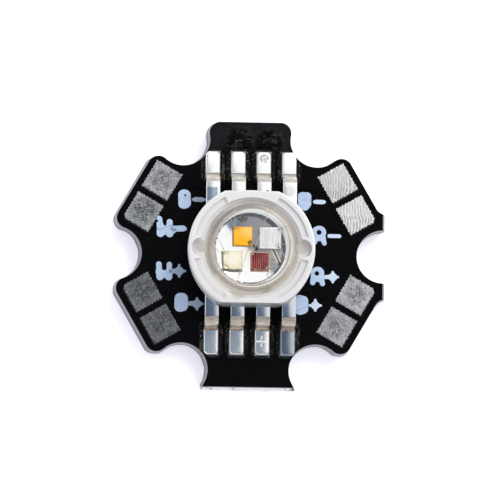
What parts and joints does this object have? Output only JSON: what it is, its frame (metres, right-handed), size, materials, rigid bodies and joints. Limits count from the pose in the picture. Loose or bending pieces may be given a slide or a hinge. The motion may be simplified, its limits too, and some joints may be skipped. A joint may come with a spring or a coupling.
{
  "type": "high power led",
  "caption": "High power multicolour LED emitter with clear dome lens and gull-wing leads, soldered to a black aluminium-core star board with screw notches and tinned wire pads.",
  "frame": {"origin": "Centre of the star board, which is the centre of the circle through its screw notches, on the bare aluminium bottom face", "axes": "+Z out of the dome lens, +Y towards the plain top arm, +X to the right when looking down on the lens with that arm up"},
  "size_m": [0.02, 0.0201, 0.0074],
  "materials": {
    "aluminium_core": "bare rolled sheet on the faces, punched and routed on the walls",
    "dielectric": "thin cream filled resin, seen only at the board's edge",
    "copper": "copper foil under the mask",
    "black_mask": "satin black solder mask with pale blue-white channel letters",
    "solder_tin": "grainy grey solder tin",
    "lead_plating": "bright silver plating, tarnished brown at the bends",
    "silver_plating": "bright silver plated copper",
    "milky_moulding": "milky translucent white moulded resin",
    "clear_lens": "clear moulded silicone lens",
    "clear_silicone": "clear silicone gel",
    "amber_phosphor": "amber phosphor layer",
    "clear_chip": "clear chip with fine contact lines",
    "pale_yellow_chip": "pale yellow chip",
    "dark_red_chip": "dark red chip with lighter contact lines",
    "die_attach": "thin conductive joint",
    "gold_wire": "bare gold bond wire"
  },
  "bodies": {
    "root": {"core_plate": "aluminium_core", "dielectric_layer": "dielectric", "solder_mask": "black_mask", "thermal_land": "copper", "slug_solder": "solder_tin", "heat_slug": "silver_plating", "package_body": "milky_moulding", "lens": "clear_lens", "silicone_fill": "clear_silicone", "die_white": "amber_phosphor", "die_blue": "clear_chip", "die_green": "pale_yellow_chip", "die_red": "dark_red_chip", "die_attach_white": "die_attach", "die_attach_blue": "die_attach", "die_attach_green": "die_attach", "die_attach_red": "die_attach", "copper_track_1": "copper", "copper_track_2": "copper", "copper_track_3": "copper", "copper_track_4": "copper", "copper_track_5": "copper", "copper_track_6": "copper", "copper_track_7": "copper", "copper_track_8": "copper", "wire_pad_tin_1": "solder_tin", "wire_pad_tin_2": "solder_tin", "wire_pad_tin_3": "solder_tin", "wire_pad_tin_4": "solder_tin", "wire_pad_tin_5": "solder_tin", "wire_pad_tin_6": "solder_tin", "wire_pad_tin_7": "solder_tin", "wire_pad_tin_8": "solder_tin", "lead_1": "lead_plating", "lead_2": "lead_plating", "lead_3": "lead_plating", "lead_4": "lead_plating", "lead_5": "lead_plating", "lead_6": "lead_plating", "lead_7": "lead_plating", "lead_8": "lead_plating", "lead_solder_1": "solder_tin", "lead_solder_2": "solder_tin", "lead_solder_3": "solder_tin", "lead_solder_4": "solder_tin", "lead_solder_5": "solder_tin", "lead_solder_6": "solder_tin", "lead_solder_7": "solder_tin", "lead_solder_8": "solder_tin", "bond_wire_1": "gold_wire", "bond_wire_2": "gold_wire", "bond_wire_3": "gold_wire", "bond_wire_4": "gold_wire", "bond_wire_5": "gold_wire", "bond_wire_6": "gold_wire", "bond_wire_7": "gold_wire", "bond_wire_8": "gold_wire"}
  },
  "joints": []
}
